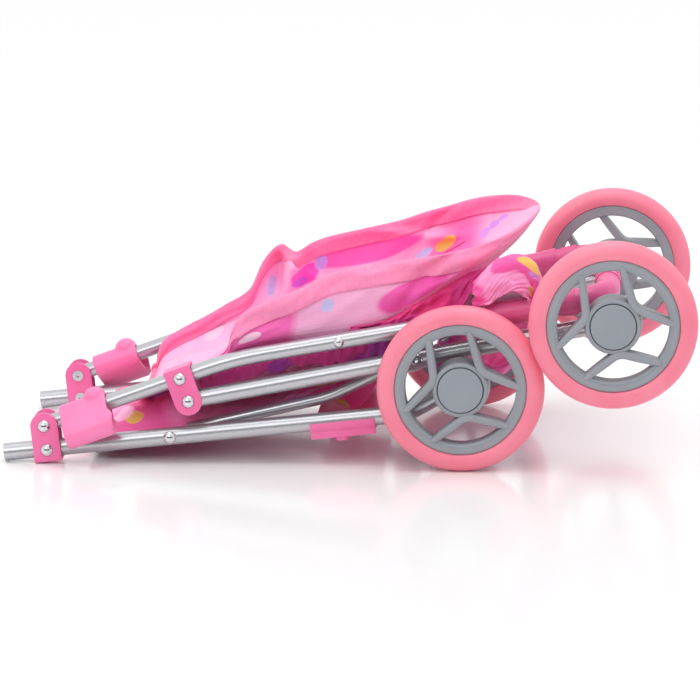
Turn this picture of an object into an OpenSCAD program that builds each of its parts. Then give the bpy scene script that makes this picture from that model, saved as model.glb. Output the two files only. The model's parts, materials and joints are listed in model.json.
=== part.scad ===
// Folding doll stroller, stored folded flat: four tube pairs, two brackets a side, four wheels,
// a sewn seat and a moulded handle. Every pivot is placed along the tube that carries it.

/* [Overall] */
// Distance between the centres of the left and right frame tubes
frame_w = 205; // [170:1:260]
// Outer diameter of a tyre
tyre_d = 130; // [104:1:145]
// Width of a tyre
tyre_w = 20; // [16:0.5:24]

/* [Front leg] */
// Outer diameter of the front leg tube
leg_tube_d = 14; // [11:0.5:17]
// Slope of the folded front leg above the floor
leg_slope = 5.95; // [4.5:0.05:7.5]
// Straight length of the front leg from its open end to its bend
leg_straight = 318; // [300:1:380]
// Length of the leg from its bend to the front axle
leg_rise = 50; // [42:1:60]
// Distance from the open end to the middle of the fold bracket
fold_bracket_at = 34.8; // [29:0.1:42]
// Distance from the open end to the seat's front pivot
seat_pivot_at = 132; // [118:1:150]

/* [Handle tube] */
// Outer diameter of the handle tube
handle_tube_d = 12.5; // [10:0.5:14]
// Slope of the lower part of the folded handle tube
handle_slope = 19.6; // [18.5:0.1:22]
// Length from the main fold pivot to the bend of the handle tube
handle_lower = 158.2; // [140:1:190]
// Length from the bend to the middle of the cross grip
handle_upper = 296; // [280:1:350]
// Angle by which the handle tube bends down towards the floor
handle_bend = 9.6; // [8:0.1:10.5]
// Length of tube that stays bare between the bend and the grip
bare_upper = 200; // [180:1:220]
// Diameter of the moulded grip
grip_d = 19; // [17:0.5:21]

/* [Brackets] */
// Distance between the two tubes that a bracket joins
pivot_rise = 19; // [18:0.1:23]
// Distance from the main fold pivot to the leg bracket
leg_bracket_at = 114; // [100:1:125]
// Width of a bracket plate
bracket_w = 21.5; // [18:0.5:26]
// Thickness of a bracket plate
bracket_t = 2.2; // [1.8:0.1:2.7]
// Shank diameter of a rivet
rivet_d = 5; // [4:0.1:6]
// Diameter of a rivet head
rivet_head_d = 10.2; // [8.5:0.1:12]

/* [Rear leg] */
// Outer diameter of the rear leg tube
rear_tube_d = 14; // [11:0.5:15]
// Distance from the rear leg's upper pivot to the seat's rear pivot
seat_link_at = 181.5; // [170:1:190]
// Distance from the rear leg's upper pivot to the rear axle, along the tube
rear_leg_len = 337.5; // [330:1:400]
// Height of the rear axle above the middle line of the rear tube
axle_lift = 4.2; // [3:0.1:5.5]
// Slope of the folded rear leg
rear_slope = 10.8; // [10:0.1:12]

/* [Seat] */
// Outer diameter of the seat rail tube
seat_tube_d = 9.5; // [8:0.5:10.5]
// Length of the seat rail in front of its front pivot
seat_nose = 63; // [52:1:66]
// Distance from the seat's front pivot to the bend of its rail
seat_knee_at = 130.2; // [120:0.1:140]
// Depth of that bend below the straight line between the seat's pivots
seat_sag = 11.5; // [8:0.5:14]
// Thickness of the seat cloth
sling_t = 4; // [3:0.5:5]
// Height of the seat's side wings above the handle tube
wing_h = 50; // [42:1:60]

/* [Wheels] */
// Diameter of an axle rod
axle_d = 6; // [5:0.1:7]
// Depth of a tyre from its tread to its seat on the rim
tyre_deep = 13.8; // [12.5:0.1:15]
// Width of a rim's ring from the tyre's seat inwards
ring_w = 8.4; // [7:0.1:9.5]
// Diameter of the wheel hub
hub_d = 43; // [36:0.5:50]
// Diameter of the hub cap
cap_d = 35; // [29:0.5:38]
// Width of a spoke
spoke_w = 5; // [4:0.5:6]
// Distance from a frame tube's centre to the middle of a front wheel
front_offset = 22.5; // [21:0.5:28]
// Distance by which the rear wheels stand further out than the front ones
rear_offset = 12; // [10:0.5:15]

/* [Footrest] */
// Distance from the front leg's open end to the middle of the footrest
foot_at = 268; // [255:1:280]
// Length of the footrest along the legs
foot_len = 51; // [42:1:60]
// Thickness of the footrest plate
foot_t = 2.5; // [2:0.1:3]
// Depth of the footrest's side skirts below its plate
foot_skirt = 3; // [2:0.5:5]

/* [Lock sleeve] */
// Distance from the main fold pivot to the sleeve's lower end
sleeve_at = 15; // [14:0.5:17]
// Length of the lock sleeve
sleeve_len = 38; // [32:1:44]
// Wall of the lock sleeve
sleeve_wall = 2.2; // [1.8:0.1:2.6]
// Angle by which the sleeve hangs away from the frame
sleeve_lean = 54; // [48:1:75]

/* [Hidden] */
$fn = 48;

fit = 0.05;      // radial clearance of a pin in its hole
lap = 0.5;       // overlap that joins the stretches of one bent bar
gap = 0.4;       // gap between neighbours that slide past each other
tube_wall = 1.1; // wall of every steel tube
leg_r = leg_tube_d / 2;
handle_r = handle_tube_d / 2;
rear_r = rear_tube_d / 2;
seat_r = seat_tube_d / 2;
rivet_r = rivet_d / 2;
axle_r = axle_d / 2;
hole_r = rivet_r + fit;
grip_r = grip_d / 2;
hub_r = hub_d / 2;
cap_r = cap_d / 2;
rim_r = tyre_d / 2 - tyre_deep;
inner_r = rim_r - ring_w;
side_y = frame_w / 2;
cap_depth = 6;       // depth of the hub's recess for the cap
axle_stick = 4;      // length of axle beyond the bottom of that recess
axle_boss = 3.4;     // wall of a leg fitting round its axle
plug_len = 17;       // length of a leg fitting inside its tube
grip_socket = 37;    // length of handle tube inside a grip arm
small_rivet = 0.8;   // size of a cloth rivet, as a share of a frame rivet
fabric_rivet_s = 84; // distance from the handle tube's bend to the cloth rivet
wheel_spin = 22;     // turn of the right-hand wheels from the left-hand ones

// Bracket cheeks stand just outside the thickest tube that they hold.
cheek_in = max(leg_r, handle_r, rear_r) + gap;
cheek_out = cheek_in + bracket_t;
seat_y = side_y - cheek_out - 1.3 - seat_r;

// Where things lie in the folded side view, as [x, z].
function turn(p, a) = [p[0] * cos(a) - p[1] * sin(a), p[0] * sin(a) + p[1] * cos(a)];
function lift(p) = [p[0], 0, p[1]];
function unit(v) = v / norm(v);
tail = [0, leg_r + 0.3];
fold_foot = tail + turn([fold_bracket_at, 0], leg_slope);
fold_pivot = tail + turn([fold_bracket_at, pivot_rise], leg_slope);
seat_front_pivot = tail + turn([seat_pivot_at, 0], leg_slope);
leg_knee = tail + turn([leg_straight, 0], leg_slope);
axle_z = tyre_d / 2;
front_axle_at = [leg_knee[0] + sqrt(pow(leg_rise, 2) - pow(axle_z - leg_knee[1], 2)), axle_z];
handle_knee = fold_pivot + turn([handle_lower, 0], handle_slope);
upper_slope = handle_slope - handle_bend;
grip_at = handle_knee + turn([handle_upper, 0], upper_slope);
leg_foot = fold_pivot + turn([leg_bracket_at, 0], handle_slope);
leg_pivot = fold_pivot + turn([leg_bracket_at, -pivot_rise], handle_slope);
seat_rear_pivot = leg_pivot + turn([seat_link_at, 0], rear_slope);
rear_axle_at = leg_pivot + turn([rear_leg_len, axle_lift], rear_slope);
fabric_rivet_at = handle_knee + turn([fabric_rivet_s, 0], upper_slope);
seat_knee = seat_front_pivot + unit(seat_rear_pivot - seat_front_pivot) * seat_knee_at - [0, seat_sag];
rail_slope = atan2(seat_knee[1] - seat_front_pivot[1], seat_knee[0] - seat_front_pivot[0]);
seat_nose_at = seat_front_pivot - turn([seat_nose, 0], rail_slope);
front_wheel_y = side_y + front_offset;
rear_wheel_y = front_wheel_y + rear_offset;
fitting_r = axle_r + axle_boss;
front_rise = unit(front_axle_at - leg_knee);
front_leg_end = front_axle_at - front_rise * (fitting_r + 3);
rear_leg_end = rear_leg_len - fitting_r - 3;
shell_y = side_y - handle_r - 1.2;
x_mid = (tail[0] - leg_r * sin(leg_slope) + rear_axle_at[0] + tyre_d / 2) / 2;

// Moves the folded side view so that the middle of the object is over the origin.
module centred() translate([-x_mid, 0, 0]) children();

// Puts a shape drawn along +X into the side view at a point, turned up by a slope.
module at(p, slope = 0, y = 0) translate([p[0], y, p[1]]) rotate([0, -slope, 0]) children();

// One copy on each side of the middle plane; the left one is drawn.
module both_sides() {
    children();
    mirror([0, 1, 0]) children();
}

// A right-hand piece is the mirror image of the left-hand one.
module on_right() mirror([0, 1, 0]) children();

module cross_rod(r, from_y, to_y) {
    translate([0, from_y, 0]) rotate([-90, 0, 0]) cylinder(r = r, h = to_y - from_y);
}

// Round bar from a to b.
module rod(a, b, r) {
    v = b - a;
    translate(a)
        rotate([0, acos(v[2] / norm(v)), atan2(v[1], v[0])])
            cylinder(r = r, h = norm(v));
}

// Quarter-like elbow of a round bar: bends at corner p from direction u to direction v.
module elbow(p, u, v, bend_r, r) {
    angle = acos(u * v);
    start = p - u * bend_r * tan(angle / 2);
    toward = (v - u * (u * v)) / norm(v - u * (u * v));
    z = cross(-toward, u);
    centre = start + toward * bend_r;
    x = -toward;
    multmatrix([[x[0], u[0], z[0], centre[0]], [x[1], u[1], z[1], centre[1]],
            [x[2], u[2], z[2], centre[2]], [0, 0, 0, 1]])
        rotate_extrude(angle = angle) translate([bend_r, 0]) circle(r = r);
}

function set_back(u, v, bend_r) = bend_r * tan(acos(u * v) / 2);

// Bar with one bend, from a over corner p to b. Its straight ends lap over a slightly thinner
// elbow, so that the three pieces are one solid.
module bent_bar(a, p, b, bend_r, r) {
    u = unit(p - a);
    v = unit(b - p);
    back = set_back(u, v, bend_r) - lap;
    rod(a, p - u * back, r);
    elbow(p, u, v, bend_r, r - 0.02);
    rod(p + v * back, b, r);
}

module bent_tube(a, p, b, bend_r, r) {
    u = unit(p - a);
    v = unit(b - p);
    back = set_back(u, v, bend_r);
    difference() {
        bent_bar(a, p, b, bend_r, r);
        bent_bar(a - u, p, b + v, bend_r, r - tube_wall);
    }
}

// Domed rivet, drawn along -Y from its head's seat at y = 0 to a rolled end at y = grip.
module rivet(grip) {
    head_h = rivet_head_d * 0.3;
    ball_r = (pow(rivet_head_d / 2, 2) + pow(head_h, 2)) / (2 * head_h);
    intersection() {
        translate([0, ball_r - head_h, 0]) sphere(r = ball_r);
        cross_rod(rivet_head_d / 2, -head_h, 0);
    }
    difference() {
        union() {
            cross_rod(rivet_r, 0, grip + 1.2);
            cross_rod(rivet_head_d * 0.44, grip, grip + 1.2);
        }
        cross_rod(rivet_r * 0.55, grip - 1, grip + 2);
    }
}

// U-shaped plate bracket on a tube at the origin, its free ends round about [0, rise].
module bracket(tube_r) {
    module cheek_shape() {
        circle(d = bracket_w);
        translate([-bracket_w / 2, -pivot_rise - tube_r - bracket_t])
            square([bracket_w, pivot_rise + tube_r + bracket_t]);
    }
    module block(y0, y1) {
        translate([0, y1, pivot_rise]) rotate([90, 0, 0]) linear_extrude(y1 - y0) cheek_shape();
    }
    difference() {
        block(-cheek_out, cheek_out);
        translate([-bracket_w, -cheek_in, -tube_r - fit])
            cube([2 * bracket_w, 2 * cheek_in, pivot_rise + bracket_w + tube_r]);
        cross_rod(hole_r, -side_y, side_y);
        translate([0, 0, pivot_rise]) cross_rod(hole_r, -side_y, side_y);
    }
}

/* ---- front legs: the root ---- */
module front_leg() {
    color("silver") difference() {
        translate([0, -side_y, 0])
            bent_tube(lift(tail), lift(leg_knee), lift(front_leg_end), 40, leg_r);
        at(fold_foot) cross_rod(hole_r, -2 * side_y, 0);
        at(seat_front_pivot) cross_rod(hole_r, -2 * side_y, 0);
    }
}
module front_leg_left() centred() front_leg();
module front_leg_right() centred() on_right() front_leg();

module fold_bracket() {
    color("hotpink") at(fold_foot, leg_slope, -side_y) bracket(leg_r);
}
module fold_bracket_left() centred() fold_bracket();
module fold_bracket_right() centred() on_right() fold_bracket();

// Rivet through both cheeks of a bracket, at point p of the side view.
module bracket_rivet(p) at(p, 0, -side_y - cheek_out - fit) rivet(2 * cheek_out + 2 * fit);

module fold_bracket_rivets() color("gainsboro") centred() both_sides() bracket_rivet(fold_foot);
module fold_pivot_rivets() color("gainsboro") centred() both_sides() bracket_rivet(fold_pivot);
module seat_front_rivets() {
    color("gainsboro") centred() both_sides()
        at(seat_front_pivot, 0, -side_y - leg_r - fit) rivet(leg_tube_d + 2 * fit);
}

// Plate between the front legs, with a half-round saddle under each leg.
module footrest() {
    color("hotpink") centred() at(tail + turn([foot_at - foot_len / 2, 0], leg_slope), leg_slope)
    difference() {
        union() {
            both_sides() translate([0, -side_y, 0]) rotate([0, 90, 0])
                cylinder(r = leg_r + foot_t, h = foot_len);
            translate([0, -side_y, -leg_r - foot_t]) cube([foot_len, frame_w, foot_t]);
            both_sides() translate([0, -side_y - leg_r * 0.9, -leg_r - foot_t - foot_skirt])
                cube([foot_len, 3.5, foot_skirt + leg_r / 2]);
            both_sides() translate([foot_len * 0.47, -side_y, -leg_r - foot_t - foot_skirt - 3])
                cylinder(r = 5.5, h = foot_skirt + 5);
        }
        both_sides() translate([-1, -side_y, 0]) rotate([0, 90, 0])
            cylinder(r = leg_r + fit, h = foot_len + 2);
        translate([-1, -frame_w, 0]) cube([foot_len + 2, 2 * frame_w, 2 * leg_r]);
    }
}

module front_axle() {
    y = front_wheel_y + tyre_w / 2 - cap_depth + axle_stick;
    color("silver") centred() at(front_axle_at) cross_rod(axle_r, -y, y);
}

// Moulded end that plugs into a leg tube and carries the axle; x runs along the tube.
module leg_fitting(offset, plug_r) {
    half = plug_r + 0.6;
    difference() {
        union() {
            translate([0, 0, offset]) cross_rod(fitting_r, -half, half);
            translate([-fitting_r - 3, -half, -plug_r * 0.8]) cube([fitting_r + 3, 2 * half, plug_r * 1.6]);
            translate([-fitting_r - plug_len - 1, 0, 0]) rotate([0, 90, 0])
                cylinder(r = plug_r - tube_wall - fit, h = plug_len);
        }
        translate([0, 0, offset]) cross_rod(axle_r + fit, -2 * half, 2 * half);
    }
}
module front_leg_fittings() {
    color("hotpink") centred() both_sides()
        at(front_axle_at, atan2(front_rise[1], front_rise[0]), -side_y) leg_fitting(0, leg_r);
}

// Tube on the axle between the leg fitting and the wheel hub.
module spacer(leg_out, wheel_y) {
    from_y = side_y + leg_out + 0.6 + fit;
    to_y = wheel_y - tyre_w / 2 - gap;
    difference() {
        cross_rod(axle_r + 2, -to_y, -from_y);
        cross_rod(axle_r + fit, -to_y - 1, -from_y + 1);
    }
}
module front_axle_spacers() {
    color("dimgray") centred() both_sides() at(front_axle_at) spacer(leg_r, front_wheel_y);
}

// Push-on nut on the end of an axle, under the hub cap.
module axle_nut(wheel_y) {
    y = wheel_y + tyre_w / 2 - cap_depth + 0.5;
    difference() {
        cross_rod(axle_r + 3, -y - 1.6, -y);
        cross_rod(axle_r + fit / 2, -y - 3, -y + 1);
    }
}
module front_axle_nuts() {
    color("silver") centred() both_sides() at(front_axle_at) axle_nut(front_wheel_y);
}

/* ---- handle ---- */
module handle_tube() {
    start = fold_pivot - turn([6, 0], handle_slope);
    end = handle_knee + turn([bare_upper + grip_socket - 1, 0], upper_slope);
    color("silver") difference() {
        translate([0, -side_y, 0]) bent_tube(lift(start), lift(handle_knee), lift(end), 300, handle_r);
        at(fold_pivot) cross_rod(hole_r, -2 * side_y, 0);
        at(leg_foot) cross_rod(hole_r, -2 * side_y, 0);
        at(fabric_rivet_at) cross_rod(hole_r * small_rivet, -2 * side_y, 0);
    }
}
module handle_tube_left() centred() handle_tube();
module handle_tube_right() centred() on_right() handle_tube();

// One moulded U: two arms pushed over the tubes and a cross grip, with finger swells.
module handle_grip() {
    bend_r = 26;
    color("hotpink") centred() at(handle_knee, upper_slope) difference() {
        union() {
            both_sides() bent_bar([bare_upper, -side_y, 0], [handle_upper, -side_y, 0],
                [handle_upper, 0, 0], bend_r, grip_r);
            both_sides() for (x = [0, 17]) translate([bare_upper + 42 + x, -side_y, 0])
                rotate([0, 90, 0]) cylinder(r1 = grip_r + 0.6, r2 = grip_r + 1.4, h = 12);
            for (y = [-45:15:45]) translate([handle_upper, y - 5, 0])
                rotate([-90, 0, 0]) cylinder(r = grip_r + 0.8, h = 10);
        }
        both_sides() translate([bare_upper - 1, -side_y, 0]) rotate([0, 90, 0])
            cylinder(r = handle_r + fit, h = grip_socket + 1);
    }
}

module leg_bracket() {
    color("hotpink") at(leg_foot, handle_slope, -side_y) rotate([180, 0, 0]) bracket(handle_r);
}
module leg_bracket_left() centred() leg_bracket();
module leg_bracket_right() centred() on_right() leg_bracket();
module leg_bracket_rivets() color("gainsboro") centred() both_sides() bracket_rivet(leg_foot);
module leg_pivot_rivets() color("gainsboro") centred() both_sides() bracket_rivet(leg_pivot);

module fabric_rivets() {
    color("gainsboro") centred() both_sides() at(fabric_rivet_at, 0, -side_y - handle_r - fit)
        scale(small_rivet) rivet((handle_tube_d + 2 * fit) / small_rivet);
}

// Sewn seat back with side wings, lying open side up between the handle tubes. Its outline is
// [distance from the tubes' bend, height above their middle line].
module seat_shell() {
    cloth = 3;
    under = -2;
    rear_end = -78;
    module outside() {
        polygon([[-14, under], [6, wing_h * 0.62], [22, wing_h * 0.74], [60, wing_h * 0.88],
            [140, wing_h * 1.03], [220, wing_h * 1.13], [252, wing_h * 1.18], [216, wing_h * 0.86],
            [160, wing_h * 0.4], [118, under + 2], [100, under]]);
    }
    module hollow() {
        polygon([[-30, under + sling_t], [-30, 2 * wing_h], [248, 2 * wing_h], [248, wing_h * 1.18],
            [214, wing_h * 0.86 + sling_t], [158, wing_h * 0.4 + sling_t], [116, under + 2 + sling_t],
            [98, under + sling_t]]);
    }
    color("pink") centred() union() {
        at(handle_knee, upper_slope) rotate([90, 0, 0]) difference() {
            translate([0, 0, -shell_y]) linear_extrude(2 * shell_y) outside();
            translate([0, 0, cloth - shell_y]) linear_extrude(2 * (shell_y - cloth)) hollow();
        }
        at(handle_knee, handle_slope) translate([rear_end, -seat_y, under])
            cube([-6 - rear_end, 2 * seat_y, sling_t]);
    }
}

/* ---- lock sleeves ---- */
// Oval sleeve wide enough for two tubes one above the other, with a thumb knob at its upper end.
module lock_sleeve() {
    in_r = leg_r + gap;
    knob_r = 8;
    module oval(r) {
        circle(r = r);
        translate([0, pivot_rise]) circle(r = r);
        translate([-r, 0]) square([2 * r, pivot_rise]);
    }
    module along(from, len) {
        translate([from, 0, 0]) rotate([180 - sleeve_lean, 0, 0]) rotate([90, 0, 90])
            linear_extrude(len) children();
    }
    color("hotpink") at(fold_pivot, handle_slope, -side_y) translate([sleeve_at, 0, 0])
    difference() {
        union() {
            along(0, sleeve_len) oval(in_r + sleeve_wall);
            translate([sleeve_len - knob_r - 2, 0, 0]) rotate([sleeve_lean - 90, 0, 0])
                translate([0, 0, 6]) sphere(r = knob_r);
        }
        along(-1, sleeve_len + 2) oval(in_r);
    }
}
module lock_sleeve_left() centred() lock_sleeve();
module lock_sleeve_right() centred() on_right() lock_sleeve();

/* ---- rear legs ---- */
module rear_leg() {
    color("silver") at(leg_pivot, rear_slope, -side_y) difference() {
        translate([-6, 0, 0]) rotate([0, 90, 0]) difference() {
            cylinder(r = rear_r, h = rear_leg_end + 6);
            translate([0, 0, -1]) cylinder(r = rear_r - tube_wall, h = rear_leg_end + 8);
        }
        cross_rod(hole_r, -side_y, side_y);
        translate([seat_link_at, 0, 0]) cross_rod(hole_r, -side_y, side_y);
    }
}
module rear_leg_left() centred() rear_leg();
module rear_leg_right() centred() on_right() rear_leg();

// Long rivets that hold the seat rails inside the rear legs, with a spacer between the tubes.
module seat_rear_rivets() {
    grip = side_y + rear_r + fit - (seat_y - seat_r) + fit;
    color("gainsboro") centred() both_sides()
        at(seat_rear_pivot, 0, -side_y - rear_r - fit) rivet(grip);
}
module seat_rear_spacers() {
    from_y = seat_y + seat_r + fit;
    to_y = side_y - rear_r - fit;
    color("dimgray") centred() both_sides() at(seat_rear_pivot) difference() {
        cross_rod(rivet_r + 2, -to_y, -from_y);
        cross_rod(hole_r, -to_y - 1, -from_y + 1);
    }
}
module rear_axle() {
    y = rear_wheel_y + tyre_w / 2 - cap_depth + axle_stick;
    color("silver") centred() at(rear_axle_at) cross_rod(axle_r, -y, y);
}
module rear_leg_fittings() {
    color("hotpink") centred() both_sides()
        at(leg_pivot + turn([rear_leg_len, 0], rear_slope), rear_slope, -side_y)
            leg_fitting(axle_lift, rear_r);
}
module rear_axle_spacers() {
    color("dimgray") centred() both_sides() at(rear_axle_at) spacer(rear_r, rear_wheel_y);
}
module rear_axle_nuts() {
    color("silver") centred() both_sides() at(rear_axle_at) axle_nut(rear_wheel_y);
}

// Cloth basket collapsed under the rear legs, sagging on both sides of the front axle. Its
// outline is [distance from the front axle, height above it].
module basket() {
    y = side_y - rear_r - 1.5;
    over = axle_r + 1.5;
    color("pink") centred() translate([front_axle_at[0], y, front_axle_at[1]]) rotate([90, 0, 0])
        linear_extrude(2 * y)
            polygon([[-25, 11], [-26, 0], [-26, -14], [-24, -16], [-18, -14], [-over - 2, -1], [-over, over],
                [over, over], [over + 3, 0], [22, -2], [38, 2], [46, 14], [49, 26]]);
}

/* ---- seat ---- */
module seat_rail() {
    nose = seat_nose_at + turn([14, 0], rail_slope);
    end = seat_rear_pivot + unit(seat_rear_pivot - seat_knee) * 7;
    color("silver") difference() {
        translate([0, -seat_y, 0]) bent_tube(lift(nose), lift(seat_knee), lift(end), 90, seat_r);
        at(seat_front_pivot) cross_rod(hole_r, -2 * side_y, 0);
        at(seat_rear_pivot) cross_rod(hole_r, -2 * side_y, 0);
    }
}
module seat_rail_left() centred() seat_rail();
module seat_rail_right() centred() on_right() seat_rail();

// Cross tube with two round corners that runs into the rails.
module seat_front_bar() {
    a = [14, -seat_y, 0];
    p = [0, -seat_y, 0];
    module half(r, over) bent_bar(a + [over, 0, 0], p, [0, 0, 0], 12, r);
    color("silver") centred() at(seat_nose_at, rail_slope) difference() {
        both_sides() half(seat_r, 0);
        both_sides() half(seat_r - tube_wall, 1);
    }
}

// Seat cloth that hangs between the rails and sags a little below them.
module seat_sling() {
    y = seat_y - seat_r - 1;
    front = seat_nose_at + turn([8, 0], rail_slope);
    back = seat_rear_pivot - unit(seat_rear_pivot - seat_knee) * 9;
    color("pink") centred() translate([0, y, 0]) rotate([90, 0, 0]) linear_extrude(2 * y)
        polygon([front + [0, 1.5], front + [0, -2.5], seat_front_pivot + [0, -7], seat_knee + [0, -10],
            back + [1, -4], back + [0, 1], seat_knee + [0, 2], seat_front_pivot + [0, 2]]);
}

/* ---- wheels, drawn about +Z with the outside up ---- */
module tyre() {
    half = tyre_w / 2;
    shoulder = tyre_w * 0.45;
    flat = tyre_deep - shoulder;
    color("lightpink") rotate_extrude($fn = 96) difference() {
        translate([rim_r, 0]) union() {
            translate([0, -half + 1]) square([flat, tyre_w - 2]);
            for (s = [-1, 1]) translate([flat, s * (half - shoulder)]) circle(r = shoulder);
            translate([flat, -half + shoulder]) square([shoulder, tyre_w - 2 * shoulder]);
        }
        translate([0, -tyre_w]) square([rim_r + 0.02, 2 * tyre_w]);
    }
}

// Angled spoke: a bar from the rim to the hub's side and out to the rim again. Each arm ends
// inside the rim's ring.
module spoke(deep) {
    lean = 25.5;
    elbow_r = 12;
    elbow_x = hub_r + 1.1;
    arm_at = [elbow_x + elbow_r * (1 - cos(lean)), elbow_r * sin(lean)];
    arm_dir = [sin(lean), cos(lean)];
    along = arm_at * arm_dir;
    reach = sqrt(pow(along, 2) - arm_at * arm_at + pow(inner_r + 0.4 * ring_w, 2)) - along;
    module arm() {
        translate(arm_at) rotate(90 - lean) translate([0, -spoke_w / 2]) square([reach, spoke_w]);
    }
    linear_extrude(deep) {
        arm();
        mirror([0, 1]) arm();
        translate([elbow_x + elbow_r, 0]) intersection() {
            difference() {
                circle(r = elbow_r + spoke_w / 2);
                circle(r = elbow_r - spoke_w / 2);
            }
            polygon([[0, 0], [-2 * elbow_r, 2 * elbow_r * tan(lean + 1)],
                [-2 * elbow_r, -2 * elbow_r * tan(lean + 1)]]);
        }
    }
}

module rim() {
    half = tyre_w / 2;
    hub_wall = 3;
    color("darkgray") difference() {
        union() {
            rotate_extrude($fn = 96) translate([inner_r, -half + 1.5]) square([ring_w, tyre_w - 3.2]);
            translate([0, 0, -half]) cylinder(r = hub_r, h = tyre_w - 1);
            for (k = [0:2]) rotate(42 + 120 * k) translate([0, 0, -half + 3]) spoke(tyre_w - 5);
        }
        translate([0, 0, half - cap_depth]) cylinder(r = cap_r + 0.15, h = tyre_w);
        translate([0, 0, -half - 1]) cylinder(r = axle_r + fit, h = 2 * tyre_w);
        difference() {
            translate([0, 0, -half - 1]) cylinder(r = hub_r - hub_wall, h = tyre_w - cap_depth - 2);
            translate([0, 0, -half - 2]) cylinder(r = axle_r + 4, h = tyre_w);
        }
    }
}

module hub_cap() {
    proud = 0.6;
    color("lightgray") difference() {
        translate([0, 0, tyre_w / 2 - cap_depth + fit]) cylinder(r = cap_r, h = cap_depth + proud);
        translate([0, 0, tyre_w / 2 - cap_depth - 1]) cylinder(r = cap_r - 1.6, h = cap_depth + 0.2);
    }
}

// Stands a wheel piece on a left-hand axle, turned by a spin angle.
module on_axle(p, wheel_y, spin = 0) {
    centred() at(p, 0, -wheel_y) rotate([90, 0, 0]) rotate(spin) children();
}
module front_left() on_axle(front_axle_at, front_wheel_y) children();
module front_right() on_right() on_axle(front_axle_at, front_wheel_y, wheel_spin) children();
module rear_left() on_axle(rear_axle_at, rear_wheel_y) children();
module rear_right() on_right() on_axle(rear_axle_at, rear_wheel_y, wheel_spin) children();

module tyre_front_left() front_left() tyre();
module rim_front_left() front_left() rim();
module hub_cap_front_left() front_left() hub_cap();
module tyre_front_right() front_right() tyre();
module rim_front_right() front_right() rim();
module hub_cap_front_right() front_right() hub_cap();
module tyre_rear_left() rear_left() tyre();
module rim_rear_left() rear_left() rim();
module hub_cap_rear_left() rear_left() hub_cap();
module tyre_rear_right() rear_right() tyre();
module rim_rear_right() rear_right() rim();
module hub_cap_rear_right() rear_right() hub_cap();

// Every node by name
front_leg_left();
front_leg_right();
fold_bracket_left();
fold_bracket_right();
fold_bracket_rivets();
fold_pivot_rivets();
seat_front_rivets();
footrest();
front_axle();
front_leg_fittings();
front_axle_spacers();
front_axle_nuts();
handle_tube_left();
handle_tube_right();
handle_grip();
leg_bracket_left();
leg_bracket_right();
leg_bracket_rivets();
leg_pivot_rivets();
fabric_rivets();
seat_shell();
lock_sleeve_left();
lock_sleeve_right();
rear_leg_left();
rear_leg_right();
seat_rear_rivets();
seat_rear_spacers();
rear_axle();
rear_leg_fittings();
rear_axle_spacers();
rear_axle_nuts();
basket();
seat_rail_left();
seat_rail_right();
seat_front_bar();
seat_sling();
tyre_front_left();
rim_front_left();
hub_cap_front_left();
tyre_front_right();
rim_front_right();
hub_cap_front_right();
tyre_rear_left();
rim_rear_left();
hub_cap_rear_left();
tyre_rear_right();
rim_rear_right();
hub_cap_rear_right();
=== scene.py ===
import json
import math

import bmesh
import bpy
from mathutils import Matrix, Vector, noise


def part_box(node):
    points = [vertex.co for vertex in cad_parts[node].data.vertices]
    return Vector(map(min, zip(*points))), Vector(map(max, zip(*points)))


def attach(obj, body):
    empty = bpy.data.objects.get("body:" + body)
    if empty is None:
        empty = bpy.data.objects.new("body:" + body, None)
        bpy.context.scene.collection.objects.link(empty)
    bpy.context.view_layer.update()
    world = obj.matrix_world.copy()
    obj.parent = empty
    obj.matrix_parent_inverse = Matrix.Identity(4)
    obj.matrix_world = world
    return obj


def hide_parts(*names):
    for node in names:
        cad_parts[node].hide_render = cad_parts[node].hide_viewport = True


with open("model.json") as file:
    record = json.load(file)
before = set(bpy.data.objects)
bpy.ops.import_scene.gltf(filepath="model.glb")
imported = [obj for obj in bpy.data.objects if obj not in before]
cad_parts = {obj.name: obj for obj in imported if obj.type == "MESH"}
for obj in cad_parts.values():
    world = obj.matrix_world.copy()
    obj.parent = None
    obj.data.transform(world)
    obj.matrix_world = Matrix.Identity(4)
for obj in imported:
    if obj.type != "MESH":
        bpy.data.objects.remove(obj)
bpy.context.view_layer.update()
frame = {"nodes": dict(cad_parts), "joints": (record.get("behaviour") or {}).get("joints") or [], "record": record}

# ---------------------------------------------------------------- places taken from the frame
JOINTS = {joint["name"]: joint for joint in frame["joints"]}


def pivot(name):
    return Vector(JOINTS[name]["pos_m"])


def middle(node):
    low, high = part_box(node)
    return (low + high) / 2


FOLD = pivot("main_fold")
LEG = pivot("rear_leg_fold")
LOWER = Vector(JOINTS["lock_slide_left"]["axis"])
SIDE_Y = abs(middle("handle_tube_left").y)
HANDLE_R = (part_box("handle_tube_left")[1].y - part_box("handle_tube_left")[0].y) / 2
LEG_R = (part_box("front_leg_left")[1].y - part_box("front_leg_left")[0].y) / 2
RAIL_Y = abs(middle("seat_rail_left").y)
RAIL_R = (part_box("seat_rail_left")[1].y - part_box("seat_rail_left")[0].y) / 2
FRONT_AXLE = pivot("spin_front_left")
REAR_AXLE = pivot("spin_rear_left")
HANDLE_LOWER = 0.1582
HANDLE_BEND = math.radians(9.6)
KNEE = FOLD + LOWER * HANDLE_LOWER
UPPER_SLOPE = math.atan2(LOWER.z, LOWER.x) - HANDLE_BEND
REAR_SLOPE = math.radians(10.8)


def smooth(t):
    t = min(max(t, 0.0), 1.0)
    return t * t * (3 - 2 * t)


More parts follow.
